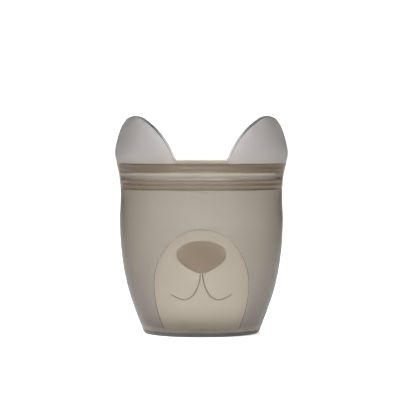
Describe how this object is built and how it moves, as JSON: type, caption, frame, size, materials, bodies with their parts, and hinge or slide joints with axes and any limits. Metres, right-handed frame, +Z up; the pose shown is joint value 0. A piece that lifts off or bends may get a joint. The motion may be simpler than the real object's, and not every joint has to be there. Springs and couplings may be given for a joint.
{
  "type": "silicone zip-rim cup",
  "caption": "Free-standing soft silicone cup with an oval foot, a lens-shaped press-zip mouth, an inlaid dog's muzzle on the front wall and rounded ears on the rim.",
  "frame": {"origin": "on the surface that the cup stands on, under the middle of the foot", "axes": "+Z up through the mouth, -Y the way the face looks, +X to the right seen from the front"},
  "size_m": [0.0866, 0.0498, 0.1086],
  "materials": {
    "wall_silicone": "translucent matt silicone, warm grey-brown, 1.3 mm wall",
    "muzzle_silicone": "translucent matt silicone, a shade lighter than the wall",
    "nose_silicone": "translucent matt silicone, darker where it is thicker",
    "mouth_silicone": "translucent matt silicone, fine raised line",
    "rim_silicone": "translucent matt silicone with a softly polished lip",
    "zip_silicone": "translucent matt silicone, thick rails",
    "ear_silicone": "translucent matt silicone, thin and pale",
    "base_silicone": "translucent matt silicone, dark where the floor is thick"
  },
  "bodies": {
    "cup": {"base_floor": "base_silicone", "front_left_zip_end": "rim_silicone", "front_right_zip_end": "rim_silicone", "front_wall": "wall_silicone", "left_ear_front": "ear_silicone", "left_ear_rear": "ear_silicone", "lower_channel_jaw_left": "zip_silicone", "lower_channel_jaw_right": "zip_silicone", "mouth_line_left": "mouth_silicone", "mouth_line_right": "mouth_silicone", "muzzle_panel": "muzzle_silicone", "nose_pad": "nose_silicone", "rear_left_zip_end": "rim_silicone", "rear_right_zip_end": "rim_silicone", "rear_wall": "wall_silicone", "right_ear_front": "ear_silicone", "right_ear_rear": "ear_silicone", "upper_channel_jaw_left": "zip_silicone", "upper_channel_jaw_right": "zip_silicone", "zip_bead_left": "zip_silicone", "zip_bead_right": "zip_silicone"},
    "front_lip": {"front_zip_band": "rim_silicone", "front_lip_edge": "rim_silicone", "lower_channel_jaw": "zip_silicone", "upper_channel_jaw": "zip_silicone"},
    "rear_lip": {"rear_zip_band": "rim_silicone", "rear_lip_edge": "rim_silicone", "zip_bead": "zip_silicone"}
  },
  "joints": [
    {"name": "front_lip_pinch", "type": "slide", "parent": "cup", "child": "front_lip", "axis": [0, 1, 0], "range_m": [0, 0.0163], "stiffness_N_per_m": 120},
    {"name": "rear_lip_pinch", "type": "slide", "parent": "cup", "child": "rear_lip", "axis": [0, -1, 0], "range_m": [0, 0.0163], "stiffness_N_per_m": 120}
  ],
  "couplings": [
    {"joint": "rear_lip_pinch", "follows": "front_lip_pinch", "ratio": 1}
  ]
}
